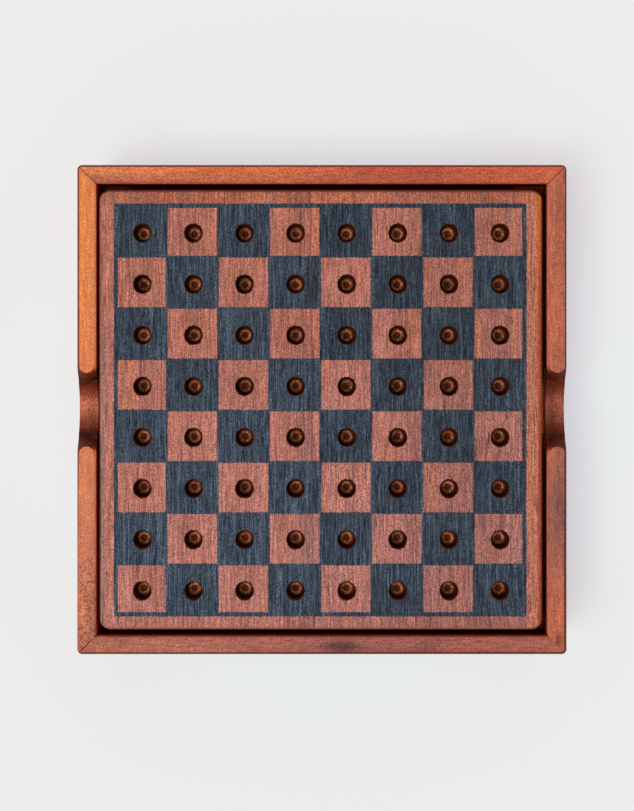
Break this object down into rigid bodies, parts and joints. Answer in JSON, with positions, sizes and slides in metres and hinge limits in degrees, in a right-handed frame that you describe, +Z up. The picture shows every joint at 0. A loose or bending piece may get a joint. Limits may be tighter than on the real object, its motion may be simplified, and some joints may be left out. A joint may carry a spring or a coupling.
{
  "type": "chess box with drawers",
  "caption": "Square wooden chess box: a lift-out peg board lies in a recess under the rim, over drawers that slide out of opposite sides.",
  "frame": {"origin": "centre of the underside", "axes": "+Z up out of the board; +X to the right and +Y to the far side of the picture's view; the drawers open along -Y and +Y"},
  "size_m": [0.13, 0.13, 0.038],
  "materials": {
    "frame_wood": "satin varnish",
    "board_wood": "matte, squares painted dark blue-grey",
    "lining_wood": "sanded, thin stain",
    "thin_panel": "thin plywood, plain",
    "felt": "felt"
  },
  "bodies": {
    "box": {"wall_near": "frame_wood", "wall_far": "frame_wood", "wall_left": "frame_wood", "wall_right": "frame_wood", "base_panel": "thin_panel", "liner_left": "lining_wood", "liner_right": "lining_wood", "ledge_near": "lining_wood", "ledge_far": "lining_wood", "centre_divider": "lining_wood"},
    "board": {"board_plank_left": "board_wood", "board_plank_right": "board_wood"},
    "near_drawer": {"near_drawer_front": "frame_wood", "near_drawer_side_left": "lining_wood", "near_drawer_side_right": "lining_wood", "near_drawer_back": "lining_wood", "near_drawer_bottom": "thin_panel", "near_drawer_felt": "felt"},
    "far_drawer": {"far_drawer_front": "frame_wood", "far_drawer_side_left": "lining_wood", "far_drawer_side_right": "lining_wood", "far_drawer_back": "lining_wood", "far_drawer_bottom": "thin_panel", "far_drawer_felt": "felt"}
  },
  "joints": [
    {"name": "board_lift", "type": "slide", "parent": "box", "child": "board", "axis": [0, 0, 1], "range_m": [0, 0.025]},
    {"name": "near_drawer_slide", "type": "slide", "parent": "box", "child": "near_drawer", "axis": [0, -1, 0], "range_m": [0, 0.045]},
    {"name": "far_drawer_slide", "type": "slide", "parent": "box", "child": "far_drawer", "axis": [0, 1, 0], "range_m": [0, 0.045]}
  ]
}
